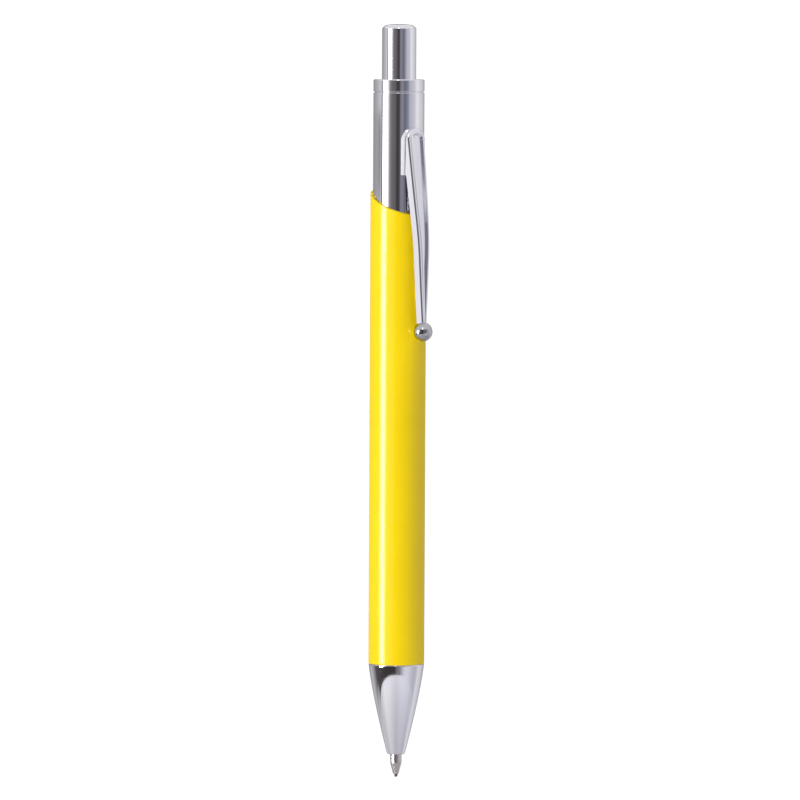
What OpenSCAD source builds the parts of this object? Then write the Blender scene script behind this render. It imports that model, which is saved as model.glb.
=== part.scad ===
// Push-button mechanical pencil for 0.7 mm leads, point down along -Z.
// The origin is the writing point, on the barrel's axis. The clip stands out along +X,
// and the XZ plane is the pencil's mirror plane. All lengths are in millimetres.

/* [Barrel] */
// Outer radius of the lacquered sleeve
sleeve_r = 5.2; // [5.1:0.05:5.4]
// Height at which the slanted top edge of the sleeve crosses the axis
sleeve_top = 107.5; // [106:0.5:109]
// Slant of the sleeve's top edge, in degrees from square
sleeve_slant = 25; // [0:1:28]
// Outer radius of the chrome tube that runs inside the sleeve and out above it
tube_r = 4.74; // [4.7:0.01:4.76]
// Wall of the chrome tube
tube_wall = 0.54; // [0.5:0.02:0.56]
// Height of the joint between the nose cone and the barrel
nose_joint = 20.9; // [20.5:0.1:21]

/* [Point] */
// Radius of the lead
lead_r = 0.35; // [0.25:0.05:0.35]
// Length of lead that stands out of the tip
lead_out = 0.6; // [0.4:0.1:1]
// Length of a fresh lead
lead_length = 60; // [50:1:60]
// Radius of the straight part of the metal tip
tip_r = 1.07; // [1:0.01:1.1]
// Height of the shoulder between the tip's cone and its straight part
tip_shoulder = 2.7; // [2.4:0.1:3]
// Height of the nose cone's mouth
nose_mouth = 4.3; // [4.2:0.1:4.5]
// Outer radius of the nose cone at its mouth
mouth_r = 1.65; // [1.6:0.01:1.75]
// How bluntly the nose cone curves in to its mouth: 1 is a straight cone
nose_bluntness = 1.25; // [1.1:0.05:1.4]

/* [Button] */
// Height of the whole pencil
total_length = 140; // [139:0.5:142]
// Outer radius of the push button
button_r = 3.18; // [3.1:0.01:3.2]
// Height of the top of the crown ring, where the button comes out
crown_top = 129.8; // [129:0.1:130]
// Height of the underside of the crown ring's rim
crown_base = 127.5; // [127.3:0.1:127.8]
// Travel of the button
press_travel = 4; // [3:0.5:4]

/* [Clip] */
// Width of the clip's face near its ball
clip_w_low = 1.2; // [1.2:0.1:1.8]
// Width of the clip's face at its head
clip_w_high = 4.2; // [3.8:0.02:4.28]
// Radius of the ball at the clip's end
ball_r = 1.78; // [1.6:0.02:1.9]
// Gap between the ball and the sleeve
ball_gap = 0.09; // [0.05:0.01:0.3]
// Height of the ball's centre
ball_z = 83.2; // [82:0.1:84]
// Depth of the clip's side walls
clip_depth = 1.05; // [0.9:0.05:1.05]
// Thickness of the clip's metal
clip_metal = 0.45; // [0.4:0.05:0.5]

/* [Hidden] */

$fn = 96;
eps = 0.01;                      // how far a cutter runs past the face it opens
press_gap = 0.02;                // between pieces that are pressed together
slide_gap = 0.1;                 // between pieces that slide in each other

bore_r = tube_r - tube_wall;     // inside of the chrome tube
crown_bore_r = button_r + slide_gap;
crown_neck = 0.2;                // height and depth of the fine groove under the crown ring's rim
crown_low = 122;                 // lower end of the crown ring's spigot
crown_chamfer = 0.62;            // height of the rim's bevelled edge
tube_top = crown_base - crown_neck;
guide_low = 105;                 // ends of the bush that guides the reservoir
guide_top = 109;

// Nose cone and its thread
nose_r = sleeve_r - 0.04;        // at the joint, a hair inside the sleeve
nose_gap = 0.05;                 // joint line between nose cone and sleeve
nose_top = nose_joint - nose_gap;
nose_steps = 24;                 // rings along the curved nose cone
spigot_top = 29.5;
spigot_r = 3.35;
thread_r = 3.5;                  // crest of the nose cone's thread
thread_pitch = 0.75;
thread_start = 1.5;              // how far above the nose joint the threads begin
thread_gap = 0.12;               // radial clearance between the two threads' crests
insert_wall = 0.15;              // metal left behind the insert's crests
insert_top = 33;
nose_bore_r = 2.8;               // round the mechanism's sleeve
nose_step_top = 14;              // the bore narrows between these two heights
nose_step_low = 13;
jaw_room_r = 2;                  // round the chuck jaws
tip_body_r = 1.25;
tip_flange_r = 1.7;
tip_flange_low = 6;
tip_top = 7.5;
tip_wall = 0.14;                 // metal round the lead at the writing end
retainer_top = 9.8;

// Chuck mechanism
cup_low = 14.5;                  // front of the mechanism's sleeve
bush_low = 19.1;                 // wall that guides the stem and backs the spring
bush_top = 20.2;
sleeve_rear = 40;
mech_r = 2.55;                   // outside of the mechanism's sleeve
chamber_r = 2.1;                 // inside of the mechanism's sleeve
flange_low = spigot_top + 0.1;
flange_top = 30.6;
jaw_low = 14.2;
jaw_root = 19;
jaw_head_r = 1.5;
jaw_root_r = 1.05;
jaw_taper_low = 15.9;
jaw_taper_high = 18.6;
jaw_slot = 0.15;                 // saw cut between two jaws
grip_gap = 0.03;                 // between a closed jaw and the lead
ring_low = 16.4;
ring_top = 18.95;
ring_r = 1.92;
ring_gap = 0.05;
stem_r = 1;
stem_bore = lead_r + 0.15;
stem_top = 36;
connector_low = 33.5;
connector_top = 40;
collar = 1.5;                    // length of the connector's collar, which the spring pushes on
spring_wire = 0.2;               // radius of the spring's wire
spring_r = 1.55;                 // radius of the spring's coil
spring_turns = 9;

// Reservoir, eraser and button
reservoir_r = 2;
reservoir_bore = 1.65;
reservoir_top = 121;
holder_low = 116;
holder_top = 129;
holder_r = 2.3;
eraser_r = 1.93;
eraser_top = 133;
spare_r = 1.12;                  // distance of the spare leads from the axis
spare_low = 42;
skirt_low = 120;                 // how far down the pressed button reaches
button_low = skirt_low + press_travel;
button_bore = 2.8;
button_side = total_length - 1.15;   // where the button's side turns into its top
liner_low = 124.5;
liner_top = 130;

// Clip
window_low = 113.2;              // opening in the tube that the clip's cheeks pass through
head_top = 120.75;               // top of the clip's face, flush with the tube
taper_top = head_top - 1.6;      // height at which its width would reach clip_w_high
head_arc = head_top - 2;         // its round head begins about here
saddle_low = 112.1;
saddle_top = 121.2;
saddle_w = 2.78;                 // half the width of the flange on the tube
saddle_r = 5.17;                 // outside of the flange's sides,
saddle_face = 4.56;              // which are flat on top at this distance from the axis
saddle_arch_r = 4.9;             // outside of the thin arch that joins them over the clip's head
slot_w = 2.2;                    // half the width of the slot that the clip moves in
ear_in = 3.1;                    // ears that carry the pin: nearest the axis,
ear_out = 4.6;                   // furthest from it,
ear_low = 114.5;                 // their ends,
ear_top = 118.4;
ear_w = 2.58;                    // and half the width over both
clip_gap = 0.05;                 // between the clip's cheeks, the slot and the ears
pin_x = 3.85;
pin_z = 117;
pin_r = 0.45;
cheek_r = 0.85;                  // rounded cheek round the pin
cheek_in = tube_r - 0.12;        // the clip's cheeks come no nearer to the axis than this outside the tube
clip_in = 2.5;                   // the clip lies between these two distances from the axis
clip_out = 8.5;
clip_low = 84.2;                 // lower end of the clip, hollowed to seat the ball
channel_low = 88;                // below this the clip is solid across
bend_low = 96.5;                 // the clip's face is bowed between these two heights
bend_high = 103.5;
slope_high = 0.124;              // lean of the clip's face above the bow
slope_low = 0.01;                // and below it
ball_x = sleeve_r + ball_gap + ball_r;

// Radius of the nose cone at a height
function nose_radius(z) =
    nose_r - (nose_r - mouth_r) * pow(1 - (z - nose_mouth) / (nose_top - nose_mouth), nose_bluntness);

// Distance of the clip's face from the axis at a height: straight, bowed, then straight again
function bow_fraction(z) = max(0, min(1, (bend_high - z) / (bend_high - bend_low)));
function clip_face(z) =
    tube_r + slope_high * (head_top - z)
    - (slope_high - slope_low) * (bend_high - bend_low) * pow(bow_fraction(z), 2) / 2
    - (slope_high - slope_low) * max(0, bend_low - z);

// Width of the clip's face at a height
function clip_width(z) =
    clip_w_low + (clip_w_high - clip_w_low) * (z - clip_low) / (taper_top - clip_low);

// Heights along the clip at which its outline turns
clip_heights = [clip_low, for (i = [0 : 12]) bend_low + (bend_high - bend_low) * i / 12, head_top];

// A turned piece from its half section, given as [radius, height] points
module turned(points) {
    rotate_extrude() polygon(points);
}

// A ring or tube between two heights
module ring(outer, inner, low, high) {
    translate([0, 0, low]) difference() {
        cylinder(r = outer, h = high - low);
        translate([0, 0, -eps]) cylinder(r = inner, h = high - low + 2 * eps);
    }
}

// A row of thread crests between two heights: rings, one to a pitch, standing out from r_root to r_crest
module thread_rings(r_root, r_crest, low, high) {
    flank = 0.2;
    flat = 0.1;
    for (z = [low : thread_pitch : high])
        turned([
            [r_root, z], [r_crest, z + flank],
            [r_crest, z + flank + flat], [r_root, z + 2 * flank + flat],
        ]);
}

// Stands a flat drawing of [y, z] points up across the X axis, from x = low to x = high
module across_x(low, high) {
    translate([low, 0, 0]) rotate([90, 0, 90]) linear_extrude(height = high - low) children();
}

// Stands a flat drawing of [x, z] points up across the Y axis, as far as half_w each way
module across_y(half_w) {
    translate([0, half_w, 0]) rotate([90, 0, 0]) linear_extrude(height = 2 * half_w) children();
}

// Tongue outline in [y, z]: straight sides, round top
module tongue(half_w, low, high) {
    translate([0, high - half_w]) circle(r = half_w);
    translate([-half_w, low]) square([2 * half_w, high - half_w - low]);
}

// Lacquered sleeve, cut off on a slant that is lowest on the clip's side
module barrel_sleeve() {
    cutter = 4 * sleeve_r;
    color("gold") difference() {
        ring(sleeve_r, tube_r + press_gap, nose_joint, sleeve_top + sleeve_r);
        translate([0, 0, sleeve_top]) rotate([0, sleeve_slant, 0])
            translate([-cutter / 2, -cutter / 2, 0]) cube(cutter);
    }
}

// Chrome tube, with the window for the clip near its top
module barrel_tube() {
    color("silver") difference() {
        ring(tube_r, bore_r, nose_joint, tube_top);
        across_x(0, tube_r + 1) tongue(ear_w + clip_gap, window_low, head_top + 5 * clip_gap);
    }
}

// Crown ring: chamfered rim on a fine neck, over a spigot pressed into the tube
module crown_ring() {
    color("silver") turned([
        [crown_bore_r, crown_low], [bore_r - press_gap, crown_low], [bore_r - press_gap, tube_top],
        [tube_r - crown_neck, tube_top], [tube_r - crown_neck, crown_base],
        [tube_r, crown_base], [tube_r, crown_top - crown_chamfer],
        [tube_r - crown_chamfer / 2, crown_top - crown_chamfer / 5],
        [tube_r - 1.2 * crown_chamfer, crown_top],
        [crown_bore_r, crown_top],
    ]);
}

// Brass insert pressed into the foot of the tube: it takes the nose cone's thread
module thread_insert() {
    crest = thread_r + thread_gap;
    root = crest + insert_wall;
    setback = 0.3;               // of the insert from the end of the tube
    lead_in = 0.45;              // flare at its mouth
    color("goldenrod") {
        difference() {
            ring(bore_r - press_gap, root, nose_joint + setback, flange_top);
            translate([0, 0, nose_joint]) cylinder(r1 = crest + lead_in, r2 = crest, h = 1);
        }
        thread_rings(root + clip_gap, crest, nose_joint + thread_start, flange_low - 1);
        ring(bore_r - press_gap, mech_r + slide_gap, flange_top, insert_top);
    }
}

// Plastic bush that keeps the reservoir central in the tube
module guide_bush() {
    color("ivory") ring(bore_r - press_gap, reservoir_r + slide_gap + press_gap, guide_low, guide_top);
}

// Brass housing of the chuck: cup for the clutch ring, bush for the stem, chamber for the spring
module mechanism_sleeve() {
    lip_r = 1.75;                // mouth of the cup, which the open jaws come out through
    lip = 0.4;                   // its thickness
    cup_r = 2.05;                // room for the clutch ring
    color("goldenrod") turned([
        [lip_r, cup_low], [mech_r, cup_low], [mech_r, flange_low],
        [thread_r, flange_low], [thread_r, flange_top], [mech_r, flange_top],
        [mech_r, sleeve_rear], [chamber_r, sleeve_rear], [chamber_r, bush_top],
        [stem_r + slide_gap, bush_top], [stem_r + slide_gap, bush_low],
        [cup_r, bush_low], [cup_r, cup_low + lip], [lip_r, cup_low + lip],
    ]);
}

// Horseshoe flange round the clip's head: flat-topped sides, and a thin arch over the head
module clip_flange() {
    intersection() {
        across_x(0, saddle_r + 1) tongue(saddle_w, saddle_low, saddle_top);
        union() {
            ring(saddle_arch_r, tube_r + press_gap, saddle_low, saddle_top);
            intersection() {
                ring(saddle_r, tube_r + press_gap, saddle_low, saddle_top);
                across_x(0, saddle_face) translate([-saddle_w, saddle_low])
                    square([2 * saddle_w, saddle_top - saddle_low]);
            }
        }
    }
}

// Flange round the clip's head, with two ears inside the tube that carry the pivot pin
module clip_saddle() {
    color("silver") difference() {
        union() {
            clip_flange();
            for (side = [-1, 1]) {
                ear = ear_w - slot_w - clip_gap;
                translate([ear_in, side > 0 ? ear_w - ear : -ear_w, ear_low])
                    cube([ear_out - ear_in, ear, ear_top - ear_low]);
            }
        }
        across_x(0, saddle_r + 1) tongue(slot_w, saddle_low - 1, head_top + 2 * clip_gap + press_gap);
        pin_hole(press_gap / 2);
    }
}

// A cutter for the hole that the clip's pin goes through, wider than the pin by a gap
module pin_hole(gap) {
    reach = ear_w + 1;
    translate([pin_x, reach, pin_z]) rotate([90, 0, 0]) cylinder(r = pin_r + gap, h = 2 * reach);
}

// Pin that the clip turns on
module clip_pivot_pin() {
    color("silver") translate([pin_x, ear_w, pin_z]) rotate([90, 0, 0]) cylinder(r = pin_r, h = 2 * ear_w);
}

// Bent leaf that pushes the clip's head out, and so its ball in against the sleeve
module clip_leaf_spring() {
    leaf = 0.2;                  // its thickness
    half_w = 1.2;
    bends = [[4.0, 110.2], [4.0, 112.3], [3.2, 115.4], [3.2, 118], [3.95, 119.7]];
    color("dimgray") across_y(half_w) polygon([
        for (p = bends) p,
        for (i = [len(bends) - 1 : -1 : 0]) bends[i] - [leaf, 0],
    ]);
}

// Outline of the clip's face in [y, z], tapering towards the ball, with a round head
module clip_front() {
    low = clip_low;
    high = head_arc;
    intersection() {
        polygon([
            [-clip_width(low) / 2, low], [clip_width(low) / 2, low],
            [clip_width(high) / 2, high], [clip_width(high) / 2, head_top],
            [-clip_width(high) / 2, head_top], [-clip_width(high) / 2, high],
        ]);
        tongue(clip_width(high) / 2, low, head_top);
    }
}

// Side profile of the clip in [x, z]: its face on the outside, set in by depth on the inside
module clip_side(depth) {
    polygon([
        for (z = clip_heights) [clip_face(z), z],
        for (i = [len(clip_heights) - 1 : -1 : 0])
            [clip_face(clip_heights[i]) - depth, clip_heights[i]],
    ]);
}

// Side profile in [x, z] of the cheeks that take the pin, with the head's walls above them
module clip_cheeks() {
    wall_top = head_top - 1;
    under_face = 0.2;
    polygon([
        [cheek_in, saddle_low],
        [clip_face(saddle_low) - under_face, saddle_low],
        [clip_face(wall_top) - under_face, wall_top],
        [tube_r - 0.35, wall_top],
        [pin_x + cheek_r, pin_z],
        [cheek_in, window_low],
    ]);
    translate([pin_x, pin_z]) circle(r = cheek_r);
    translate([pin_x, pin_z - cheek_r]) square([1.2, 2 * cheek_r]);
}

// The channel's hollow, open on the barrel's side
module clip_channel() {
    low = clip_width(channel_low) / 2 - clip_metal;
    high = clip_width(pin_z) / 2 - clip_metal;
    wall_top = head_top - 1;
    intersection() {
        across_x(clip_in, clip_out) polygon([
            [-low, channel_low], [low, channel_low],
            [high, pin_z], [high, wall_top], [-high, wall_top], [-high, pin_z],
        ]);
        across_y(slot_w) polygon([
            [clip_in, clip_low],
            for (z = clip_heights) [clip_face(z) - clip_metal, z],
            [clip_in, head_top],
        ]);
    }
}

// The clip: a tapered channel, open towards the barrel, with two cheeks for the pivot pin
module clip_arm() {
    head_low = saddle_low + 0.4;     // above this the plain walls stop and the cheeks take over
    color("silver") difference() {
        intersection() {
            across_x(clip_in, clip_out) clip_front();
            across_y(slot_w) union() {
                clip_side(clip_metal);
                difference() {
                    clip_side(clip_depth);
                    translate([clip_in, head_low]) square([clip_out - clip_in, head_top - head_low + 1]);
                }
                clip_cheeks();
            }
        }
        clip_channel();
        pin_hole(clip_gap);
        translate([ball_x, 0, ball_z]) sphere(r = ball_r + press_gap / 2);
    }
}

// Ball soldered to the clip's end
module clip_ball() {
    color("silver") translate([ball_x, 0, ball_z]) sphere(r = ball_r);
}

// Nose cone, with the thread that screws into the barrel
module nose_cone() {
    rounding = 0.2;              // of the mouth's edge
    color("silver") {
        turned([
            [tip_body_r + press_gap, nose_mouth],
            [mouth_r - rounding, nose_mouth],
            [mouth_r - rounding / 3, nose_mouth + rounding / 3],
            [mouth_r + rounding / 5, nose_mouth + rounding],
            for (i = [1 : nose_steps])
                let (z = nose_mouth + rounding + (nose_top - nose_mouth - rounding) * i / nose_steps)
                    [nose_radius(z), z],
            [spigot_r, nose_top], [spigot_r, spigot_top],
            [nose_bore_r, spigot_top], [nose_bore_r, nose_step_top],
            [jaw_room_r, nose_step_low], [jaw_room_r, retainer_top],
            [tip_flange_r + press_gap, retainer_top], [tip_flange_r + press_gap, tip_flange_low],
            [tip_body_r + press_gap, tip_flange_low],
        ]);
        thread_rings(spigot_r - clip_gap, thread_r, nose_joint + thread_start, spigot_top - thread_pitch);
    }
}

// Metal tip: cone, straight part, and the flange that the nose cone holds it by
module tip_guide() {
    guide_r = lead_r + grip_gap;
    color("darkgray") turned([
        [guide_r, lead_out], [guide_r + tip_wall, lead_out], [tip_r, tip_shoulder],
        [tip_r, nose_mouth], [tip_body_r, nose_mouth + press_gap],
        [tip_body_r, tip_flange_low + press_gap], [tip_flange_r, tip_flange_low + press_gap],
        [tip_flange_r, tip_top], [guide_r + 0.5, tip_top], [guide_r, tip_top - 1],
    ]);
}

// Rubber ring that brakes the lead while the chuck is open
module lead_retainer() {
    mouth = 1;                   // wide end of its bore
    color("black") turned([
        [lead_r + grip_gap, tip_top + 0.3], [mouth, tip_top + press_gap],
        [tip_flange_r, tip_top + press_gap], [tip_flange_r, retainer_top],
        [mouth, retainer_top], [lead_r + grip_gap, retainer_top - 0.8],
    ]);
}

// One of the chuck's three jaws, centred on an angle about the axis
module chuck_jaw(angle) {
    grip_r = lead_r + grip_gap;
    apex = jaw_slot / 2 / sin(60);   // the jaw's third of the circle, set out by half a saw cut
    reach = 4;
    color("goldenrod") intersection() {
        turned([
            [grip_r, jaw_low + 0.3], [grip_r + 0.3, jaw_low], [jaw_head_r - 0.3, jaw_low],
            [jaw_head_r, jaw_low + 0.4], [jaw_head_r, jaw_taper_low],
            [jaw_root_r, jaw_taper_high], [jaw_root_r, jaw_root], [grip_r, jaw_root],
        ]);
        rotate([0, 0, angle]) translate([apex, 0, jaw_low - 1])
            linear_extrude(height = jaw_root - jaw_low + 2) polygon([
                [0, 0], [reach * cos(60), -reach * sin(60)],
                [reach, 0], [reach * cos(60), reach * sin(60)],
            ]);
    }
}

// The jaw on the clip's side
module chuck_jaw_1() { chuck_jaw(0); }

// The second jaw
module chuck_jaw_2() { chuck_jaw(120); }

// The third jaw
module chuck_jaw_3() { chuck_jaw(240); }

// Brass ring whose cone closes the jaws
module clutch_ring() {
    taper = (jaw_head_r - jaw_root_r) / (jaw_taper_high - jaw_taper_low);
    low_r = jaw_head_r - taper * (ring_low - jaw_taper_low) + ring_gap;
    high_r = jaw_root_r + ring_gap + press_gap;
    color("goldenrod") turned([
        [low_r, ring_low], [ring_r - 0.15, ring_low], [ring_r, ring_low + 0.15],
        [ring_r, ring_top], [high_r, ring_top], [high_r, jaw_taper_high],
    ]);
}

// Hollow stem behind the jaws
module chuck_stem() {
    color("goldenrod") ring(stem_r, stem_bore, jaw_root, stem_top);
}

// Joins the stem to the reservoir, and takes the spring's push
module chuck_connector() {
    collar_r = chamber_r - 0.15;
    collar_top = connector_low + collar;
    color("ivory") turned([
        [stem_r + press_gap, connector_low], [collar_r, connector_low],
        [collar_r, collar_top], [reservoir_bore - press_gap, collar_top],
        [reservoir_bore - press_gap, connector_top - 0.4], [1.1, connector_top],
        [stem_bore + 0.25, connector_top - 0.3], [stem_bore, stem_top + press_gap],
        [stem_r + press_gap, stem_top + press_gap],
    ]);
}

// Coil spring behind the bush, wound by a loop, with close turns at its two ends
module chuck_spring() {
    sides = 8;
    turn_steps = 16;
    steps = spring_turns * turn_steps;
    low = bush_top + slide_gap + spring_wire;
    high = connector_low - slide_gap - spring_wire;
    dead = 1.2;                  // turns that lie close at each end
    close = 2.1 * spring_wire;   // rise of a close turn
    open = (high - low - 2 * dead * close) / (spring_turns - 2 * dead);
    function rise(t) = t < dead ? low + close * t
        : t > spring_turns - dead ? high - close * (spring_turns - t)
        : low + close * dead + open * (t - dead);
    points = [
        for (i = [0 : steps], k = [0 : sides - 1])
            let (t = i / turn_steps, a = 360 * t, b = 360 * k / sides, r = spring_r + spring_wire * cos(b))
                [r * cos(a), r * sin(a), rise(t) + spring_wire * sin(b)]
    ];
    walls = [
        for (i = [0 : steps - 1], k = [0 : sides - 1])
            let (n = (k + 1) % sides, a = i * sides, b = a + sides)
                [a + k, a + n, b + n, b + k]
    ];
    first = [for (k = [sides - 1 : -1 : 0]) k];
    last = [for (k = [0 : sides - 1]) steps * sides + k];
    color("lightgray") polyhedron(points, concat(walls, [first, last]));
}

// Tube for spare leads
module lead_reservoir() {
    low = connector_low + collar + press_gap;
    color("whitesmoke") ring(reservoir_r, reservoir_bore, low, reservoir_top);
}

// Three spare leads, spaced round the one in use
module spare_leads() {
    color("dimgray") for (a = [0 : 120 : 240])
        rotate([0, 0, a + 60]) translate([spare_r, 0, spare_low]) cylinder(r = lead_r, h = lead_length);
}

// Metal holder on top of the reservoir: it grips the eraser, and the button's liner grips it
module eraser_holder() {
    color("silver") turned([
        [reservoir_r + press_gap, holder_low], [holder_r, holder_low],
        [holder_r, holder_top], [eraser_r + press_gap, holder_top],
        [eraser_r + press_gap, reservoir_top], [reservoir_r + press_gap, reservoir_top],
    ]);
}

// Eraser, standing on the reservoir's end in the holder
module eraser() {
    worn = 0.4;
    color("white") turned([
        [0, reservoir_top + press_gap], [eraser_r, reservoir_top + press_gap],
        [eraser_r, eraser_top - worn], [eraser_r - worn, eraser_top], [0, eraser_top],
    ]);
}

// Push button: a thin cap with a slightly domed top
module push_button() {
    corner = 0.55;               // rounding of the edge
    wall = 0.4;
    dome = total_length - button_side - corner;
    color("silver") turned([
        [button_bore, button_low], [button_r, button_low], [button_r, button_side],
        for (a = [15 : 15 : 75])
            [button_r - corner + corner * cos(a), button_side + corner * sin(a)],
        for (f = [1 : -0.2 : 0])
            [(button_r - corner) * f, button_side + corner + dome * (1 - f * f)],
        [0, button_side - wall], [button_bore, button_side - 1.5 * wall],
    ]);
}

// Plastic liner in the button: a step in it rests on the eraser holder
module button_liner() {
    grip = holder_r + 2 * press_gap;
    mouth = eraser_r + slide_gap + press_gap;
    color("ivory") turned([
        [grip, liner_low], [button_bore - press_gap, liner_low],
        [button_bore - press_gap, liner_top], [mouth, liner_top],
        [mouth, holder_top + press_gap], [grip, holder_top + press_gap],
    ]);
}

// The lead in use
module lead() {
    color("dimgray") cylinder(r = lead_r, h = lead_length);
}

barrel_sleeve();
barrel_tube();
crown_ring();
thread_insert();
guide_bush();
mechanism_sleeve();
clip_saddle();
clip_pivot_pin();
clip_leaf_spring();
clip_arm();
clip_ball();
nose_cone();
tip_guide();
lead_retainer();
chuck_jaw_1();
chuck_jaw_2();
chuck_jaw_3();
clutch_ring();
chuck_stem();
chuck_connector();
chuck_spring();
lead_reservoir();
spare_leads();
eraser_holder();
eraser();
push_button();
button_liner();
lead();
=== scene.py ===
import math

import bpy
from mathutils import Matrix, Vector

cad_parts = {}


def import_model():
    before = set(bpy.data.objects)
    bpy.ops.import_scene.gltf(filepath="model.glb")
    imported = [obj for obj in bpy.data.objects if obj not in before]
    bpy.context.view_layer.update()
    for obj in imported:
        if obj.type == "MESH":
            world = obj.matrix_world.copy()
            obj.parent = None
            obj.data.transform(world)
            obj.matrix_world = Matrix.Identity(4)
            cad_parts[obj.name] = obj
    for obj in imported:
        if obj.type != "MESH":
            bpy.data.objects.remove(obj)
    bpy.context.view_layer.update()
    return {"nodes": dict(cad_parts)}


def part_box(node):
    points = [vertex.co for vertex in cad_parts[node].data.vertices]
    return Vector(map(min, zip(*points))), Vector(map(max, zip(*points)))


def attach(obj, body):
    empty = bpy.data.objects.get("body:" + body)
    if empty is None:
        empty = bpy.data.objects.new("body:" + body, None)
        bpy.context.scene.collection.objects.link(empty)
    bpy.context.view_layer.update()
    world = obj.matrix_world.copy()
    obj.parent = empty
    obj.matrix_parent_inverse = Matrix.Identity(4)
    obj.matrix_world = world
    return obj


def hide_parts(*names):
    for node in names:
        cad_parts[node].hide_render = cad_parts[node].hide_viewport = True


# The looks of a push-button mechanical pencil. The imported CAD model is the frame: +Z runs from the
# writing point to the button, and the clip is on +X. The pencil's pieces are drawn in millimetres,
# and the studio round them in metres.

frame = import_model()

MM = 0.001
ROUND_STEPS = 256          # points round a large turned piece
ARC_STEPS = 6              # steps along a rounded edge
ARC_SHARE = 0.45           # a rounded edge takes at most this share of the stretch beside it
SUPPORT = 0.03             # a straight stretch has a ring this close to each end, which keeps it flat
LONG_STRETCH = 1.0         # on an open section only stretches longer than this get those rings
ON_AXIS = 1e-6
STRAIGHT = math.radians(176)     # a corner this open isn't rounded
SHARP = math.radians(30)         # faces that meet at more than this keep their edge sharp


def node_box(node):
    """A CAD node's lowest and highest corners in millimetres."""
    low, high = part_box(node)
    return low / MM, high / MM


# Sizes read from the frame
sleeve_low, sleeve_high = node_box("barrel_sleeve")
tube_low, tube_high = node_box("barrel_tube")
crown_low, crown_high = node_box("crown_ring")
button_low, button_high = node_box("push_button")
nose_low, nose_high = node_box("nose_cone")
tip_low, tip_high = node_box("tip_guide")
saddle_low, saddle_high = node_box("clip_saddle")
arm_low, arm_high = node_box("clip_arm")
ball_low, ball_high = node_box("clip_ball")
eraser_low, eraser_high = node_box("eraser")
holder_low, holder_high = node_box("eraser_holder")
lead_high = node_box("lead")[1]

TUBE_WALL = 0.54
SLEEVE_TRIM = 0.37                         # both ends of the sleeve are drawn this much shorter
SLANT = math.tan(math.radians(25))         # slope at which the sleeve's top edge falls to the clip

sleeve_r = sleeve_high.y
tube_r = tube_high.y
bore_r = tube_r - TUBE_WALL
button_r = button_high.y
nose_r = nose_high.y
lead_r = lead_high.y
joint_z = sleeve_low.z
rim_z = joint_z + SLEEVE_TRIM              # the nose cone's rim laps the tube's foot up to here
sleeve_mid = sleeve_high.z - SLEEVE_TRIM - sleeve_r * SLANT     # the slanted edge's height on the axis


# ---------------------------------------------------------------- mesh building

def clamped(value):
    """The value, kept within 0 and 1."""
    return max(0, min(1, value))


def eased(value, low, high):
    """0 below low, 1 above high, and smooth between."""
    t = clamped((value - low) / (high - low))
    return t * t * (3 - 2 * t)


def make_mesh(name, points, faces):
    """A smooth-shaded object from points in millimetres."""
    mesh = bpy.data.meshes.new(name)
    mesh.from_pydata([Vector(p) * MM for p in points], [], faces)
    mesh.validate()
    mesh.shade_smooth()
    mesh.update()
    piece = bpy.data.objects.new(name, mesh)
    bpy.context.scene.collection.objects.link(piece)
    return piece


def crisp(piece):
    """Keeps a piece's edges sharp."""
    piece.data.set_sharp_from_angle(angle=SHARP)
    return piece


def finish_piece(piece, body, slot, material, *nodes):
    """Puts a piece on its body, in the place of its CAD nodes, with its material."""
    piece.data.materials.append(material)
    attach(piece, body)
    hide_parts(*nodes)
    return piece


def curve_points(start, corner, end):
    """Points along a curve that bends from start to end inside a corner."""
    points = []
    for i in range(ARC_STEPS + 1):
        t = i / ARC_STEPS
        points.append((1 - t) ** 2 * start + 2 * t * (1 - t) * corner + t ** 2 * end)
    return points


def arc_points(corner, before, after, radius):
    """The rounded corner between two straight stretches of a half section."""
    to_before, to_after = (before - corner).normalized(), (after - corner).normalized()
    angle = to_before.angle(to_after)
    if radius <= 0 or angle > STRAIGHT:
        return [corner]
    shortest = min((before - corner).length, (after - corner).length)
    run = min(radius / math.tan(angle / 2), ARC_SHARE * shortest)
    return curve_points(corner + to_before * run, corner, corner + to_after * run)


def rounded_section(section):
    """A closed half section, given as (radius, height, rounding) corners, with its corners rounded
    and a support point near each end of every straight stretch."""
    corners = [Vector(p[:2]) for p in section]
    count = len(section)
    loops = [
        arc_points(corners[i], corners[i - 1], corners[(i + 1) % count], section[i][2])
        for i in range(count)
    ]
    points = []
    for i, loop in enumerate(loops):
        following = loops[(i + 1) % count][0]
        points += loop
        gap = following - loop[-1]
        if gap.length > 4 * SUPPORT:
            inset = gap.normalized() * SUPPORT
            points += [loop[-1] + inset, following - inset]
    return points


def rounded_line(line):
    """The same for an open line of corners, where only long stretches get support points."""
    corners = [Vector(p[:2]) for p in line]
    bent = [corners[0]]
    for i in range(1, len(line) - 1):
        bent += arc_points(corners[i], corners[i - 1], corners[i + 1], line[i][2])
    bent.append(corners[-1])
    points = []
    for here, following in zip(bent, bent[1:]):
        points.append(here)
        gap = following - here
        if gap.length > LONG_STRETCH:
            inset = gap.normalized() * SUPPORT
            points += [here + inset, following - inset]
    return points + [bent[-1]]


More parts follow.
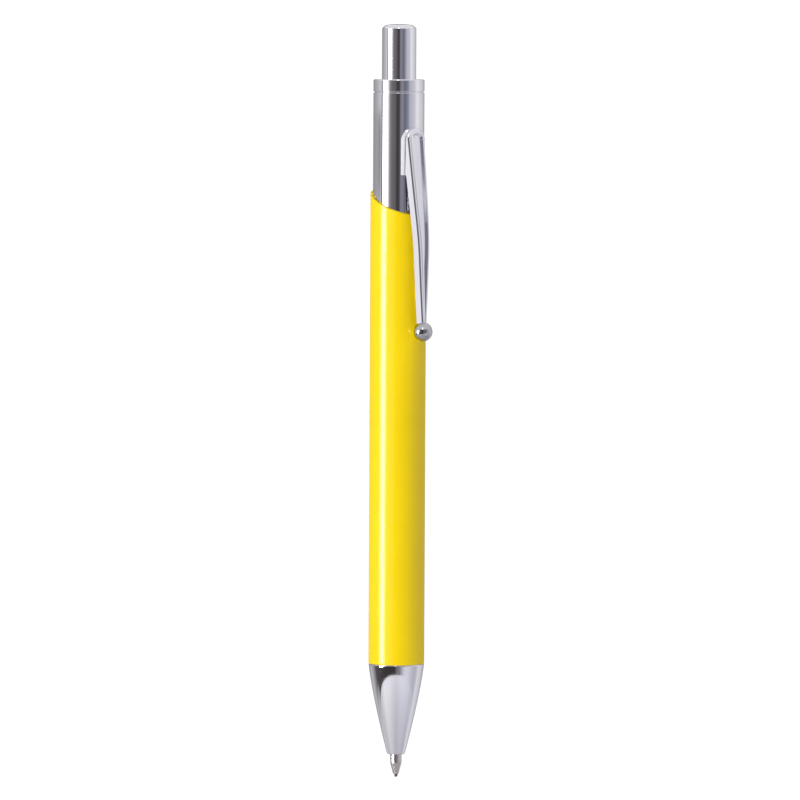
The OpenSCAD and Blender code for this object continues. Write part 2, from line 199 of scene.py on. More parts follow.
def turn(name, section, steps=ROUND_STEPS, lift=None):
    """A turned piece from a closed half section that doesn't reach the axis.
    lift(x, z) moves a point up by an amount that depends on its place."""
    ring = rounded_section(section)
    points, faces, count = [], [], len(ring)
    for k in range(steps):
        a = 2 * math.pi * k / steps
        for r, z in ring:
            x, y = r * math.cos(a), r * math.sin(a)
            points.append((x, y, z + (lift(x, z) if lift else 0)))
    for k in range(steps):
        here, there = k * count, (k + 1) % steps * count
        for i in range(count):
            j = (i + 1) % count
            faces.append((here + i, there + i, there + j, here + j))
    return make_mesh(name, points, faces)


def turn_to_poles(name, ring, first_z, last_z, steps):
    """A turned piece from a half section's points, closed on the axis beyond the first and the last."""
    points, faces, count = [], [], len(ring)
    for k in range(steps):
        a = 2 * math.pi * k / steps
        points += [(p.x * math.cos(a), p.x * math.sin(a), p.y) for p in ring]
    first_pole, last_pole = len(points), len(points) + 1
    points += [(0, 0, first_z), (0, 0, last_z)]
    for k in range(steps):
        here, there = k * count, (k + 1) % steps * count
        for i in range(count - 1):
            faces.append((here + i, there + i, there + i + 1, here + i + 1))
        faces.append((first_pole, there, here))
        faces.append((last_pole, here + count - 1, there + count - 1))
    return make_mesh(name, points, faces)


def turn_solid(name, section, steps):
    """A turned piece without a bore: its first and last corners lie on the axis."""
    ring = rounded_section(section)
    first = next(i for i, p in enumerate(ring) if p.x < ON_AXIS)
    ring = ring[first:] + ring[:first]
    ring = [p for p in ring if p.x > ON_AXIS]
    return turn_to_poles(name, ring, section[0][1], section[-1][1], steps)


def loft(name, loops):
    """A solid through closed loops of equally many points."""
    count = len(loops[0])
    points = [p for loop in loops for p in loop]
    faces = []
    for s in range(len(loops) - 1):
        here, there = s * count, (s + 1) * count
        for i in range(count):
            j = (i + 1) % count
            faces.append((here + i, here + j, there + j, there + i))
    last = (len(loops) - 1) * count
    faces.append(tuple(range(count - 1, -1, -1)))
    faces.append(tuple(last + i for i in range(count)))
    return make_mesh(name, points, faces)


# ---------------------------------------------------------------- materials

class Nodes:
    """A new material's nodes, and ways to add to them."""

    def __init__(self, name):
        self.material = bpy.data.materials.new(name)
        self.material.use_nodes = True
        self.tree = self.material.node_tree

    def node(self, kind, **settings):
        """Adds a node."""
        made = self.tree.nodes.new(kind)
        for key, value in settings.items():
            setattr(made, key, value)
        return made

    def link(self, source, target):
        """Joins an output to an input."""
        self.tree.links.new(source, target)

    def math(self, kind, *values):
        """A maths node on values that are each a number or a socket."""
        made = self.node("ShaderNodeMath", operation=kind)
        for socket, value in zip(made.inputs, values):
            if isinstance(value, (int, float)):
                socket.default_value = value
            else:
                self.link(value, socket)
        return made.outputs[0]

    def remap(self, source, low, high, to_low=0.0, to_high=1.0, kind="LINEAR"):
        """Changes the range low to high into to_low to to_high."""
        made = self.node("ShaderNodeMapRange", interpolation_type=kind)
        numbers = {"From Min": low, "From Max": high, "To Min": to_low, "To Max": to_high}
        for socket, value in numbers.items():
            made.inputs[socket].default_value = value
        self.link(source, made.inputs["Value"])
        return made.outputs["Result"]

    def ramp(self, source, stops):
        """A colour ramp: stops are (place, (r, g, b))."""
        made = self.node("ShaderNodeValToRGB")
        elements = made.color_ramp.elements
        while len(elements) < len(stops):
            elements.new(0.5)
        for element, (place, colour) in zip(elements, stops):
            element.position = place
            element.color = (*colour, 1)
        self.link(source, made.inputs["Fac"])
        return made.outputs["Color"]


class Surface(Nodes):
    """The material of a piece, with its Principled shader as .out."""

    def __init__(self, name, **sockets):
        super().__init__(name)
        self.out = self.tree.nodes["Principled BSDF"]
        for socket, value in sockets.items():
            self.out.inputs[socket.replace("_", " ")].default_value = value

    def noise(self, size, stretch=(1, 1, 1), detail=3, roughness=0.5):
        """Noise with features about size millimetres across, stretched along an axis by its factor."""
        where = self.node("ShaderNodeTexCoord")
        fit = self.node("ShaderNodeMapping")
        fit.inputs["Scale"].default_value = [1 / (size * MM * s) for s in stretch]
        made = self.node("ShaderNodeTexNoise")
        made.inputs["Scale"].default_value = 1
        made.inputs["Detail"].default_value = detail
        made.inputs["Roughness"].default_value = roughness
        self.link(where.outputs["Object"], fit.inputs["Vector"])
        self.link(fit.outputs["Vector"], made.inputs["Vector"])
        return made.outputs["Fac"]

    def colour(self, source, *stops):
        """Colours the surface by source."""
        self.link(self.ramp(source, stops), self.out.inputs["Base Color"])

    def roughness(self, source):
        """Makes the surface as rough as source says."""
        self.link(source, self.out.inputs["Roughness"])

    def bump(self, source, depth):
        """Raises the surface by depth millimetres where source is 1."""
        made = self.node("ShaderNodeBump")
        made.inputs["Strength"].default_value = 1
        made.inputs["Distance"].default_value = depth * MM
        self.link(source, made.inputs["Height"])
        self.link(made.outputs["Normal"], self.out.inputs["Normal"])


def lacquer():
    """Glossy yellow lacquer under a clear coat, a little deeper where it gathers."""
    skin = Surface(
        "yellow_lacquer", Roughness=0.4, Specular_IOR_Level=0.0,
        Coat_Weight=0.44, Coat_Roughness=0.19, Coat_IOR=1.5,
    )
    skin.colour(skin.noise(9, detail=2), (0.3, (0.90, 0.650, 0.004)), (0.7, (0.955, 0.688, 0.005)))
    skin.roughness(skin.remap(skin.noise(0.6), 0.3, 0.7, 0.30, 0.38))
    skin.bump(skin.noise(0.9, stretch=(1, 1, 1.4), detail=2), 0.0006)
    return skin.material


def chrome(name="chrome_plate", shade=1.0):
    """Polished chrome plate: faint polishing lines along the pencil, and light finger smudges. A shade below
    1 darkens the whole colour as painted shade.
    """
    skin = Surface(name, Metallic=1.0)
    dull = tuple(shade * c for c in (0.655, 0.65, 0.69))
    bright = tuple(shade * c for c in (0.68, 0.675, 0.71))
    skin.colour(skin.noise(14, detail=2), (0.35, dull), (0.65, bright))
    lines = skin.noise(0.12, stretch=(1, 1, 40), detail=2)
    smudge = skin.noise(3.5, stretch=(1, 1, 1.6), detail=4)
    line_rough = skin.remap(lines, 0.3, 0.7, 0.035, 0.05)
    smudge_rough = skin.remap(smudge, 0.5, 0.75, 0.0, 0.02)
    skin.roughness(skin.math("ADD", line_rough, smudge_rough))
    skin.bump(lines, 0.00002)
    return skin.material


def turned_metal(name, colour, worn, rough):
    """Bare turned metal, with fine tool lines round it and a duller bloom in patches."""
    skin = Surface(name, Metallic=1.0)
    skin.colour(skin.noise(1.6, detail=4), (0.35, worn), (0.62, colour))
    lines = skin.noise(0.05, stretch=(60, 60, 1), detail=2)
    skin.roughness(skin.remap(lines, 0.3, 0.7, rough * 0.75, rough * 1.3))
    skin.bump(lines, 0.0008)
    return skin.material


def plastic(name, colour, rough, through=0.0):
    """Moulded plastic with a faint flow pattern. through is how much light it lets pass."""
    skin = Surface(name, Transmission_Weight=through, IOR=1.49)
    paler = tuple(min(1, c * 1.06 + 0.01) for c in colour)
    skin.colour(skin.noise(4, stretch=(1, 1, 5), detail=3), (0.35, colour), (0.65, paler))
    grain = skin.noise(0.25, detail=3)
    skin.roughness(skin.remap(grain, 0.3, 0.7, rough * 0.85, rough * 1.2))
    skin.bump(grain, 0.0015)
    return skin.material


def rubber(name, colour, paler):
    """Matt rubber with a fine open grain."""
    skin = Surface(name, Specular_IOR_Level=0.3)
    grain = skin.noise(0.18, detail=5, roughness=0.7)
    skin.colour(grain, (0.35, colour), (0.65, paler))
    skin.roughness(skin.remap(grain, 0.3, 0.7, 0.75, 0.95))
    skin.bump(grain, 0.01)
    return skin.material


def graphite():
    """Drawn lead: grey-black with a soft sheen and fine streaks along it."""
    skin = Surface("graphite", Metallic=0.35)
    streaks = skin.noise(0.06, stretch=(1, 1, 14), detail=3)
    skin.colour(streaks, (0.35, (0.03, 0.03, 0.032)), (0.65, (0.085, 0.085, 0.09)))
    skin.roughness(skin.remap(streaks, 0.3, 0.7, 0.36, 0.52))
    skin.bump(streaks, 0.002)
    return skin.material


YELLOW = lacquer()
CHROME = chrome()
# Painted shade: the ball's chrome is the plate's chrome darkened, standing in for the darker reflections the
# ball shows.
BALL_CHROME_PAINTED_SHADE = chrome("ball_chrome", 0.62)            # the ball is drawn darker
TIP_METAL = turned_metal("tip_metal", (0.50, 0.475, 0.46), (0.40, 0.375, 0.36), 0.27)
BRASS = turned_metal("brass", (0.78, 0.58, 0.26), (0.62, 0.43, 0.18), 0.22)
SPRING_STEEL = turned_metal("spring_steel", (0.55, 0.55, 0.57), (0.43, 0.43, 0.44), 0.24)
TIN_PLATE = turned_metal("tin_plate", (0.72, 0.72, 0.73), (0.6, 0.6, 0.61), 0.18)
IVORY = plastic("ivory_plastic", (0.80, 0.77, 0.68), 0.42)
CLEAR = plastic("clear_plastic", (0.82, 0.85, 0.85), 0.3, through=0.55)
RETAINER = rubber("retainer_rubber", (0.018, 0.018, 0.018), (0.035, 0.034, 0.033))
ERASER = rubber("eraser_rubber", (0.82, 0.81, 0.78), (0.88, 0.875, 0.85))
GRAPHITE = graphite()


# ---------------------------------------------------------------- barrel

def barrel_sleeve():
    """The lacquered sleeve: a thin tube whose top edge is cut on a slant."""
    inner = tube_r + 0.02
    half = (sleeve_mid + joint_z) / 2

    def slant(x, z):
        return -x * SLANT if z > half else 0

    piece = turn("barrel_sleeve_lacquered", [
        (inner, rim_z, 0.05), (sleeve_r, rim_z, 0.16),
        (sleeve_r, sleeve_mid, 0.14), (inner, sleeve_mid, 0.06),
    ], lift=slant)
    return finish_piece(piece, "barrel", "yellow_lacquer", YELLOW, "barrel_sleeve")


def barrel_tube():
    """The chrome tube. It is plain where the saddle covers its window."""
    piece = turn("barrel_tube_chrome", [
        (bore_r, tube_low.z, 0.05), (tube_r, tube_low.z, 0.05),
        (tube_r, tube_high.z, 0.16), (bore_r, tube_high.z, 0.05),
    ])
    return finish_piece(piece, "barrel", "chrome_plate", CHROME, "barrel_tube")


def crown_ring():
    """The crown: a rim with rounded edges, a groove below it, and a spigot that goes into the tube."""
    bore, spigot_r, groove_r = button_r + 0.1, bore_r - 0.02, tube_r - 0.22
    groove_low, groove_high = tube_high.z - 0.2, tube_high.z + 0.2
    top = crown_high.z
    piece = turn("crown_ring_chrome", [
        (bore, crown_low.z, 0.03), (spigot_r, crown_low.z, 0.1), (spigot_r, groove_low, 0),
        (groove_r, groove_low, 0), (groove_r, groove_high, 0), (tube_r, groove_high, 0.14),
        (tube_r, top - 0.06, 0.3), (tube_r - 0.7, top, 0.3), (bore, top, 0.08),
    ])
    return finish_piece(piece, "barrel", "chrome_plate", CHROME, "crown_ring")


# ---------------------------------------------------------------- clip

HEAD_Z = arm_high.z        # top of the clip's head
HEAD_W = 2.1               # half the clip's width there, before its corners are rounded off
FOOT_W = 0.58              # and where the taper ends
FOOT_Z = 84.2              # height at which the taper ends
BULGE = 0.55               # how strongly it bulges beyond a straight taper in between
FACE_LEAN = 0.128          # lean of the clip's face above the bow
FOOT_LEAN = 0.01           # and below it
BOW = (96.5, 103.5)        # heights between which the face is bowed
RIM_RISE = 0.05            # of the rims along the clip's face over the plain slope
RIM_ROUND = 0.38           # rounding of its shoulders
SHOULDER = RIM_ROUND * 1.42      # about how far in a shoulder reaches
RIM_LEAN = 25              # degrees by which the rims lean in to the floor between them
RIM_RUN = 0.55             # width of the leaning part
FLOOR_EDGE = 0.12          # of the flat floor beside it, which gets close points too
WALL_LEAN = 25             # degrees by which the clip's side walls lean in
WALL = 0.42                # thickness of the clip's metal
WALL_DEPTH = 1.12          # from the rim to the side walls' inner edge
CLEAR_OF_SLEEVE = 5.16     # nearest that edge comes to the axis beside the sleeve
CLEAR_OF_TUBE = 4.62       # and beside the tube
IN_TUBE = 4.05             # where the edge lies at the head, which goes into the tube
SADDLE_TOP = 121.2         # height of the saddle's round top
SADDLE_FACE = 4.56         # distance of the saddle's flat top from the axis
TONGUE_STEPS = 48          # points along one side of a tongue


def clip_face(z):
    """Distance of the clip's face from the axis."""
    low, high = BOW
    bowed = clamped((high - z) / (high - low))
    change = FACE_LEAN - FOOT_LEAN
    straight = tube_r + FACE_LEAN * (HEAD_Z - z)
    return straight - change * (high - low) * bowed ** 2 / 2 - change * max(0, low - z)


def clip_taper(z):
    """Half the clip's width, tapering to the ball, without its round head."""
    t = clamped((z - FOOT_Z) / (HEAD_Z - FOOT_Z))
    return FOOT_W + (HEAD_W - FOOT_W) * (t + BULGE * t * (1 - t))


def head_round():
    """Radius of the clip's round head, and the height of its centre."""
    radius = clip_taper(HEAD_Z - HEAD_W)
    return radius, HEAD_Z - radius


def clip_half_width(z):
    """Half the clip's width with its round head."""
    radius, centre = head_round()
    if z <= centre:
        return clip_taper(z)
    return min(clip_taper(z), math.sqrt(max(0.001, radius ** 2 - (z - centre) ** 2)))


def clip_back(z):
    """Distance from the axis of the side walls' inner edge."""
    deep = clip_face(z) + RIM_RISE - WALL_DEPTH
    # On the clip's side the sleeve's slanted edge is 4.85 below its highest point
    past_sleeve = eased(z, sleeve_high.z - 6.2, sleeve_high.z - 5)
    clear = CLEAR_OF_SLEEVE + (CLEAR_OF_TUBE - CLEAR_OF_SLEEVE) * past_sleeve
    plain = max(deep, clear)
    at_saddle = eased(z, saddle_low.z - 0.3, saddle_low.z + 1.2)
    return plain + (IN_TUBE - plain) * at_saddle


def rim_drop(inset, run, dish):
    """How far the clip's face lies below its rim at a distance in from its outline: a round shoulder,
    a slope as wide as run that leans in, and a flat floor. dish is 1, or less for a shallower floor."""
    lean = math.radians(RIM_LEAN)
    slope_from = RIM_ROUND * (1 + math.sin(lean))
    if inset < slope_from:
        fall = RIM_ROUND - math.sqrt(max(0, RIM_ROUND ** 2 - (inset - RIM_ROUND) ** 2))
        return fall if inset < RIM_ROUND else fall * dish
    start, bend = RIM_ROUND * (1 - math.cos(lean)), min(0.1, run / 2)
    to_bend = inset - slope_from - (run - bend)
    if to_bend < 0:
        return dish * (start + (inset - slope_from) * math.tan(lean))
    to_bend = min(to_bend, 2 * bend)
    return dish * (start + (run - bend + to_bend - to_bend ** 2 / (4 * bend)) * math.tan(lean))


def wall_at(z, x):
    """Distance of the clip's side wall from the middle plane at a height and a distance from the axis."""
    top = clip_face(z) + RIM_RISE - RIM_ROUND * (1 - math.sin(math.radians(WALL_LEAN)))
    return clip_taper(z) + math.tan(math.radians(WALL_LEAN)) * max(0, top - x)


def clip_section(z):
    """Half of the clip's cross section at a height, as (x, y) from the wall's inner edge to the middle
    of the face."""
    half_w, back = clip_half_width(z), clip_back(z)
    head_r, centre = head_round()
    rim = clip_face(z) + RIM_RISE
    run = max(0.06, min(RIM_RUN, clip_taper(z) - SHOULDER - FLOOR_EDGE))
    squeeze = 1 if z <= centre else min(1, half_w / 1.2)     # shoulders narrow at the top of the head
    dish = 1 - eased(z, centre + 0.3, centre + 1.5)

    def face_point(y):
        """The point of the face at a distance y from the middle plane."""
        inset = half_w - y if z <= centre else head_r - math.hypot(y, z - centre)
        return rim - rim_drop(inset, run, dish), y

    # The side wall, straight from the shoulder down to its foot
    lean = math.radians(WALL_LEAN)
    top = rim - RIM_ROUND * (1 - math.sin(lean))
    top_y = half_w - RIM_ROUND * (1 - math.cos(lean)) * squeeze
    foot = max(back, SADDLE_FACE - 0.3)
    points = [(back, top_y + math.tan(lean) * max(0, top - foot))]
    points += [(x, top_y + math.tan(lean) * max(0, top - x)) for x in (foot + 0.02, foot + 0.06, top - 0.02)]

    # The shoulder in ten equal turns, then twelve steps over the slope and onto the floor
    turned = 90 + RIM_LEAN - WALL_LEAN
    angles = [math.radians(WALL_LEAN + turned * i / 10) for i in range(11)]
    insets = [RIM_ROUND * (1 - math.cos(a)) for a in angles]
    rest = run + FLOOR_EDGE - insets[-1] + SHOULDER
    insets += [insets[-1] + rest * k / 12 for k in range(1, 13)]
    for inset in insets:
        y = half_w - inset * squeeze
        if y < 0.1 * half_w:
            break
        points.append(face_point(y))

    # Every section has as many points: a narrow one gets the rest of them close to its middle
    while len(points) < 4 + len(insets):
        points.append(face_point(points[-1][1] * 0.8))
    middle, last_y = face_point(0)[0], points[-1][1]
    return points + [(middle, last_y * 0.5), (middle, last_y * 0.15)]


def clip_arm():
    """The clip: a tapered channel, bowed along its length."""
    foot, arc, rows, head_rows = arm_low.z, head_round()[1], 300, 60
    heights = [foot + (arc - foot) * i / rows for i in range(rows)]
    heights += [
        arc + (HEAD_Z - 0.005 - arc) * math.sin(math.pi / 2 * i / head_rows) for i in range(head_rows + 1)
    ]
    loops = []
    for z in heights:
        half = clip_section(z)
        half_w, back, floor_x = clip_half_width(z), clip_back(z), half[-1][0]
        # It is solid at its foot and at the top of its head, and hollow in between
        hollow = eased(z, 87, 89) * (1 - eased(z, HEAD_Z - 1.6, HEAD_Z - 1))
        ceiling = back + max(0, floor_x - WALL - back) * hollow
        inner_w = max(0.3 * half_w, half_w - WALL)
        foot_w = max(inner_w, half[0][1] - WALL)
        inner = [(back, foot_w), (ceiling, inner_w), (ceiling, inner_w * 0.9)]
        loop = [(x, y, z) for x, y in reversed(inner)] + [(x, y, z) for x, y in half]
        loop += [(x, -y, z) for x, y in reversed(half)] + [(x, -y, z) for x, y in inner]
        loops.append(loop)
    piece = crisp(loft("clip_arm_chrome", loops))
    return finish_piece(piece, "clip", "chrome_plate", CHROME, "clip_arm")


def clip_ball():
    """The ball on the clip's end."""
    centre, radius = (ball_low + ball_high) / 2, (ball_high.z - ball_low.z) / 2
    rows, steps = 48, 96
    points, faces = [], []
    for i in range(1, rows):
        up = math.pi * i / rows
        for k in range(steps):
            a = 2 * math.pi * k / steps
            points.append((
                centre.x + radius * math.sin(up) * math.cos(a),
                centre.y + radius * math.sin(up) * math.sin(a),
                centre.z - radius * math.cos(up),
            ))
    low_pole, high_pole = len(points), len(points) + 1
    points += [(centre.x, centre.y, centre.z - radius), (centre.x, centre.y, centre.z + radius)]
    last = (rows - 2) * steps
    for k in range(steps):
        n = (k + 1) % steps
        faces.append((low_pole, n, k))
        faces.append((high_pole, last + k, last + n))
        for i in range(rows - 2):
            here, there = i * steps, (i + 1) * steps
            faces.append((here + k, here + n, there + n, there + k))
    piece = make_mesh("clip_ball_chrome", points, faces)
    return finish_piece(piece, "clip", "chrome_plate", BALL_CHROME_PAINTED_SHADE, "clip_ball")


def tongue(half_w, low, high):
    """Points along a tongue's outline in (y, z), from the foot of its left side over its round top
    to the foot of its right side. half_w gives half its width at a height."""
    radius = half_w(high)
    middle = high - radius
    left = []
    for i in range(TONGUE_STEPS):
        z = low + (middle - low) * i / TONGUE_STEPS
        left.append((-half_w(z), z))
    top = []
    for i in range(2 * TONGUE_STEPS + 1):
        a = math.pi * (1 - i / (2 * TONGUE_STEPS))
        top.append((radius * math.cos(a), middle + radius * math.sin(a)))
    return left + top + [(-y, z) for y, z in reversed(left)]


def clip_saddle():
    """The flange round the clip's head: a flat-topped horseshoe whose sides lean down to the tube."""
    low, half_w = saddle_low.z, saddle_high.y
    lean_side, lean_top, gap_side, gap_top = 0.318, 0.2, 0.02, 0.05
    under, round_r = tube_r + 0.005, 0.03
    foot = tongue(lambda z: half_w, low, SADDLE_TOP)
    brow = tongue(lambda z: half_w - lean_side, low, SADDLE_TOP - lean_top)
    slot = tongue(lambda z: wall_at(z, SADDLE_FACE) + gap_side, low, HEAD_Z + gap_top)

    def top_face(y):
        """Distance of the flange's top from the axis: flat, and clear of the tube beside that."""
        return max(SADDLE_FACE, math.sqrt((under + 0.02) ** 2 - y ** 2))

    loops = []
    for (y0, z0), (y1, z1), (y2, z2) in zip(foot, brow, slot):
        base = Vector((math.sqrt(under ** 2 - y0 ** 2), y0, z0))
        corner = Vector((top_face(y1), y1, z1))
        lip = Vector((top_face(y2), y2, z2))
        side, top = corner - base, lip - corner
        run = min(round_r, ARC_SHARE * side.length, ARC_SHARE * top.length)
        start, end = corner - side.normalized() * run, corner + top.normalized() * run
        loops.append([
            base, base + side.normalized() * min(0.02, 0.2 * side.length),
            *curve_points(start, corner, end),
            lip - top.normalized() * 0.04, lip - Vector((0.02, 0, 0)),
            Vector((math.sqrt(under ** 2 - y2 ** 2) - 0.01, y2, z2)),
        ])
    piece = crisp(loft("clip_saddle_chrome", loops))
    return finish_piece(piece, "barrel", "chrome_plate", CHROME, "clip_saddle")


# ---------------------------------------------------------------- nose

MOUTH_R = 1.65             # outer radius of the nose cone at its mouth
BLUNTNESS = 1.25           # how bluntly it curves in to the mouth: 1 is a straight cone


def nose_cone():
    """The nose cone: curved outside, threaded spigot behind, stepped bore."""
    mouth_z, top_z, lap_z, spigot_top = nose_low.z, joint_z - 0.05, rim_z - 0.05, nose_high.z
    mouth_bore, flange_bore, jaw_bore, sleeve_bore = 1.27, 1.72, 2, 2.8
    flange_low, flange_top, jaw_top, sleeve_end = 6, 9.8, 13, 14
    curve, steps = [], 60
    for i in range(1, steps):
        z = mouth_z + 0.3 + (lap_z - 0.12 - mouth_z - 0.3) * i / (steps - 1)
        share = (z - mouth_z) / (lap_z - mouth_z)
        curve.append((nose_r - (nose_r - MOUTH_R) * (1 - share) ** BLUNTNESS, z, 0))
    root, crest, pitch, thread_low = 3.35, 3.5, 0.75, joint_z + 1.2
    thread = []
    for i in range(int((spigot_top - 1 - thread_low) / pitch)):
        z = thread_low + pitch * i
        thread += [(root, z, 0.03), (crest, z + 0.22, 0.05), (crest, z + 0.3, 0.05), (root, z + 0.52, 0.03)]
    piece = turn("nose_cone_chrome", [
        (mouth_bore, mouth_z, 0.05), (MOUTH_R, mouth_z, 0.22), *curve,
        (nose_r - 0.06, lap_z, 0.02), (tube_r + 0.04, lap_z, 0.02), (tube_r + 0.04, top_z, 0),
        (root, top_z, 0.05), *thread,
        (root, spigot_top, 0.15), (sleeve_bore, spigot_top, 0.1), (sleeve_bore, sleeve_end, 0.1),
        (jaw_bore, jaw_top, 0.1), (jaw_bore, flange_top, 0.02),
        (flange_bore, flange_top, 0.02), (flange_bore, flange_low, 0.02), (mouth_bore, flange_low, 0.02),
    ])
    return finish_piece(piece, "nose", "chrome_plate", CHROME, "nose_cone")


def tip_guide():
    """The bare metal tip: a cone with a rounded end on a short straight part, held by a flange inside."""
    bore, straight_r, body_r, flange_r = lead_r + 0.03, 1.07, 1.25, 1.7
    end, cone_top, body_low, flange_low, top = tip_low.z, 2.7, 4.32, 6.02, tip_high.z
    piece = turn("tip_guide_metal", [
        (bore, end, 0.01), (bore + 0.14, end, 0.05),
        (straight_r, cone_top, 0.25), (straight_r, body_low - 0.02, 0.02),
        (body_r, body_low, 0.02), (body_r, flange_low, 0.02),
        (flange_r, flange_low, 0.05), (flange_r, top, 0.1),
        (bore + 0.5, top, 0.02), (bore, top - 1, 0.02),
    ], steps=128)
    return finish_piece(piece, "nose", "tip_metal", TIP_METAL, "tip_guide")


def lead_in_use():
    """The lead, its end worn round by writing."""
    top = lead_high.z
    piece = turn_solid("lead_in_use", [
        (0, 0, 0), (lead_r * 0.45, 0.02, 0.08), (lead_r, 0.3, 0.15), (lead_r, top, 0.03), (0, top, 0),
    ], steps=64)
    return finish_piece(piece, "lead", "graphite", GRAPHITE, "lead")


# ---------------------------------------------------------------- button and what it covers

def push_button():
    """The push button: a long thin cap, its top slightly domed over a rounded edge."""
    low, top, bore = button_low.z, button_high.z, 2.8
    side = top - 0.75                      # the straight side ends here
    ceiling = side - 0.05
    dome_r, dome_z, dome_rise = button_r * 0.82, side + 0.42, 0.33
    dome = [
        (dome_r * math.cos(math.radians(a)), dome_z + dome_rise * math.sin(math.radians(a)), 0)
        for a in range(15, 90, 15)
    ]
    outside = rounded_line([
        (bore, low, 0.04), (button_r, low, 0.12), (button_r, side, 0.5), (button_r * 0.86, side + 0.36, 0.3),
        *dome,
    ])
    inside = [Vector((bore - 0.3, ceiling)), Vector((bore, side - 0.3)), Vector((bore, low + 0.03))]
    piece = turn_to_poles("push_button_chrome", inside + outside, ceiling, top, ROUND_STEPS)
    return finish_piece(piece, "button", "chrome_plate", CHROME, "push_button")


def eraser():
    """The eraser, rounded over at its top by use."""
    r = eraser_high.y
    piece = turn_solid("eraser_white", [
        (0, eraser_low.z, 0), (r, eraser_low.z, 0.1), (r, eraser_high.z, 0.5), (0, eraser_high.z, 0),
    ], steps=96)
    return finish_piece(piece, "plunger", "eraser_rubber", ERASER, "eraser")


def eraser_holder():
    """The metal holder. The reservoir's end fits its wider lower bore, and the rest grips the eraser."""
    r, reservoir_bore, eraser_bore = holder_high.y, 2.02, 1.95
    reservoir_top = eraser_low.z - 0.02
    piece = turn("eraser_holder_metal", [
        (reservoir_bore, holder_low.z, 0.03), (r, holder_low.z, 0.1), (r, holder_high.z, 0.14),
        (eraser_bore, holder_high.z, 0.05), (eraser_bore, reservoir_top, 0.02),
        (reservoir_bore, reservoir_top, 0.02),
    ], steps=128)
    return finish_piece(piece, "plunger", "tin_plate", TIN_PLATE, "eraser_holder")


barrel_sleeve()
barrel_tube()
crown_ring()
clip_saddle()
clip_arm()
clip_ball()
nose_cone()
tip_guide()
lead_in_use()
push_button()
eraser()
eraser_holder()

# The other pieces keep their CAD shape and get their material
CARRIED = {
    "thread_insert": BRASS, "mechanism_sleeve": BRASS, "clutch_ring": BRASS, "chuck_stem": BRASS,
    "chuck_jaw_1": BRASS, "chuck_jaw_2": BRASS, "chuck_jaw_3": BRASS,
    "guide_bush": IVORY, "chuck_connector": IVORY, "button_liner": IVORY, "lead_reservoir": CLEAR,
    "clip_pivot_pin": SPRING_STEEL, "clip_leaf_spring": SPRING_STEEL, "chuck_spring": SPRING_STEEL,
    "lead_retainer": RETAINER, "spare_leads": GRAPHITE,
}
for carried, material in CARRIED.items():
    part = frame["nodes"][carried]
    part.data.materials.clear()
    part.data.materials.append(material)
    part.data.shade_smooth()
    crisp(part)


# ---------------------------------------------------------------- studio

VIEW_AZIMUTH = 49          # the camera stands this far round from -Y
VIEW_WIDTH = 0.1486        # width of the view at the pencil
FLOOR_Z = -0.283
CARD_TOP = 0.5
CARD_R = 0.75              # distance of the card from the pencil
CARD_STEPS = 180           # points round the card and the floor
KEY_R = CARD_R - 0.02      # the strip light stands just in front of the card
WHITE = (1, 1, 1)

# What the pencil reflects: (degrees to the camera's right, brightness, colour)
CARD_STOPS = [
    (-180, 0.30, (1.0, 1.0, 1.04)), (-155, 0.38, (1.0, 1.0, 1.04)), (-125, 0.55, (1.0, 1.0, 1.02)),
    (-110, 0.66, (1.0, 0.99, 1.02)), (-98, 0.78, (1.0, 0.99, 1.02)), (-88, 0.86, (1.0, 0.99, 1.02)),
    (-80, 1.15, (1.0, 0.99, 1.0)), (-55, 1.28, (1.0, 0.98, 1.0)), (-47, 1.22, (1.0, 0.98, 1.0)),
    (-44, 0.62, (1.0, 0.96, 1.0)), (-40, 0.36, (1.0, 0.94, 0.98)), (-31, 0.22, (1.0, 0.92, 0.98)),
    (-15, 0.17, (1.0, 0.93, 1.0)), (-8, 0.075, (1.0, 0.92, 1.0)), (2, 0.075, (1.0, 0.92, 1.06)),
    (10, 0.32, (0.97, 0.94, 1.10)), (18, 0.33, (0.96, 0.94, 1.12)), (28, 0.20, (0.93, 0.95, 1.20)),
    (42, 0.36, (0.94, 0.97, 1.16)), (52, 0.66, (0.96, 0.97, 1.10)), (74, 0.78, (1.0, 0.98, 1.05)),
    (90, 1.12, (1.0, 1.0, 1.03)), (108, 0.95, (1.0, 1.0, 1.02)), (140, 0.70, (1.0, 1.0, 1.02)),
    (160, 0.38, (0.98, 0.98, 1.06)),
]
# The same beside the clip, where the card is duller at the far left
SIDE_STOPS = [
    (-180, 0.30, (1.0, 0.98, 1.0)), (-118, 0.50, (1.0, 0.98, 1.0)), (-104, 0.47, (1.0, 0.97, 0.99)),
    (-96, 0.38, (1.0, 0.95, 0.98)), (-91, 0.44, (1.0, 0.96, 1.0)),
    *(stop for stop in CARD_STOPS if stop[0] > -86),
]
# The same where a pale patch high on the card shows in the clip's far rim
PATCH_STOPS = [
    *(stop for stop in CARD_STOPS if stop[0] < -2),
    (3, 0.55, (0.96, 0.97, 1.10)), (9, 1.0, (0.96, 0.97, 1.08)), (18, 1.25, (0.97, 0.98, 1.06)),
    (32, 1.3, (0.97, 0.98, 1.06)),
    *(stop for stop in CARD_STOPS if stop[0] > 70),
]
